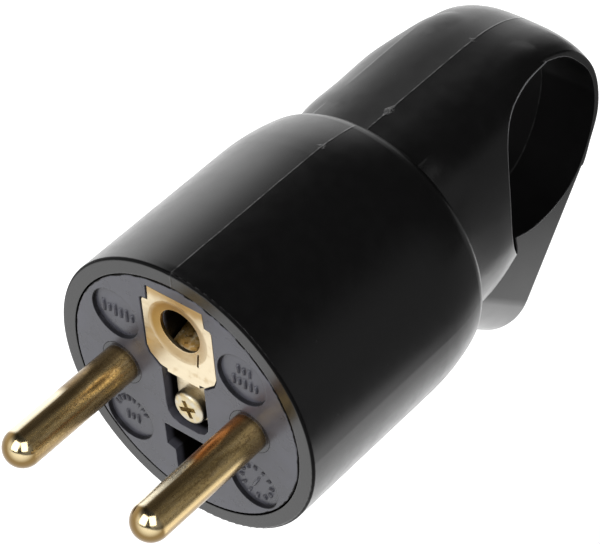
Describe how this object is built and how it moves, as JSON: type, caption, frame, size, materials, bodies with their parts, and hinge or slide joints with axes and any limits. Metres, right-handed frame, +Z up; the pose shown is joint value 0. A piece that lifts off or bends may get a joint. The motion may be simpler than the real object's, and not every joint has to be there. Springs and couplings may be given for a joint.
{
  "type": "angled mains plug",
  "caption": "Rewireable black mains plug with two round pins, an earth contact, an angled cord outlet and a finger-loop handle.",
  "frame": {"origin": "centre of the bounding box's bottom, on the table the plug lies on", "axes": "+Z up from the table, -Y towards the pins, +Y towards the finger loop and the cord outlet, +X to the right as the user faces the pins"},
  "size_m": [0.0372, 0.0884, 0.0425],
  "materials": {
    "black_pvc": "satin",
    "dark_insert": "semi gloss",
    "pin_brass": "machined, worn",
    "plate_brass": "satin, stamped",
    "zinc_steel": "zinc plated",
    "spring_bronze": "satin"
  },
  "bodies": {
    "root": {"housing": "black_pvc", "contact_insert": "dark_insert", "left_pin": "pin_brass", "right_pin": "pin_brass", "left_terminal_screw": "zinc_steel", "right_terminal_screw": "zinc_steel", "left_pin_ring": "zinc_steel", "right_pin_ring": "zinc_steel", "earth_plate": "plate_brass", "earth_spring": "spring_bronze", "earth_terminal_screw": "zinc_steel", "earth_clamp_washer": "zinc_steel", "earth_nut": "plate_brass", "fixing_screw": "zinc_steel", "screw_sleeve": "plate_brass", "cord_clamp_bar": "dark_insert", "left_clamp_screw": "zinc_steel", "right_clamp_screw": "zinc_steel", "left_clamp_nut": "zinc_steel", "right_clamp_nut": "zinc_steel"}
  },
  "joints": []
}
